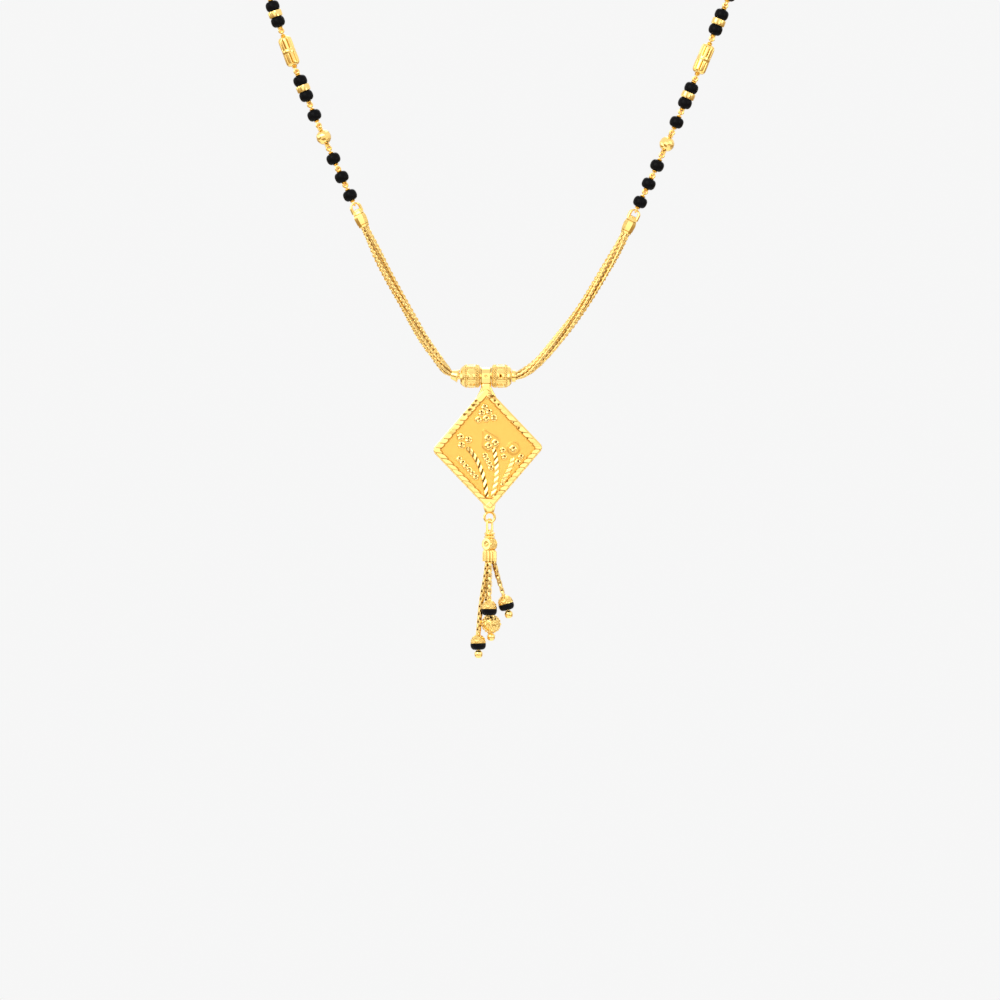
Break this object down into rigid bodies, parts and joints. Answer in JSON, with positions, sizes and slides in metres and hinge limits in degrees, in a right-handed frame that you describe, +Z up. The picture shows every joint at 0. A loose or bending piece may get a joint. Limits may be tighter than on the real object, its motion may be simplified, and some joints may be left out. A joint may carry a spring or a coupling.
{
  "type": "mangalsutra necklace",
  "caption": "Short mangalsutra: a closed loop of black and gold beads on linked eye pins, chain bundles in front, and a diamond-shaped floral pendant with a small tassel.",
  "frame": {"origin": "where the closed loop lies on the back of the neck, at the middle of the clasp", "axes": "+Z up as the necklace hangs, front of the pendant towards -Y, wearer's left hand side towards +X"},
  "size_m": [0.1144, 0.0953, 0.1621],
  "materials": {
    "black_glass": "glossy opaque black",
    "polished_gold": "polished yellow gold, diamond cut",
    "satin_gold": "satin field with bright cut relief",
    "fine_chain_gold": "fine polished chain"
  },
  "bodies": {
    "necklace": {"left_black_beads": "black_glass", "right_black_beads": "black_glass", "left_spacers": "polished_gold", "right_spacers": "polished_gold", "left_gold_balls": "polished_gold", "right_gold_balls": "polished_gold", "left_fluted_tubes": "polished_gold", "right_fluted_tubes": "polished_gold", "left_eye_pins": "polished_gold", "right_eye_pins": "polished_gold", "clasp": "polished_gold", "left_ferrule": "polished_gold", "right_ferrule": "polished_gold", "left_chain_bundle": "fine_chain_gold", "right_chain_bundle": "fine_chain_gold", "carrier_rod": "polished_gold", "left_barrel": "polished_gold", "right_barrel": "polished_gold"},
    "pendant": {"pendant": "satin_gold"},
    "tassel": {"tassel_head": "polished_gold", "left_tassel_chain": "fine_chain_gold", "back_tassel_chain": "fine_chain_gold", "middle_tassel_chain": "fine_chain_gold", "right_tassel_chain": "fine_chain_gold", "left_drop": "polished_gold", "left_drop_band": "black_glass", "middle_drop": "polished_gold", "middle_drop_band": "black_glass", "right_drop": "polished_gold", "right_drop_band": "black_glass", "grain_drop": "polished_gold"}
  },
  "joints": [
    {"name": "pendant_swing", "type": "hinge", "parent": "necklace", "child": "pendant", "pos_m": [-0.0002, -0.092, -0.11], "axis": [1, 0, 0], "range_deg": [-80, 80]},
    {"name": "tassel_swing", "type": "hinge", "parent": "pendant", "child": "tassel", "pos_m": [0.00047, -0.092, -0.13639], "axis": [1, 0, 0], "range_deg": [-36, 36]}
  ]
}
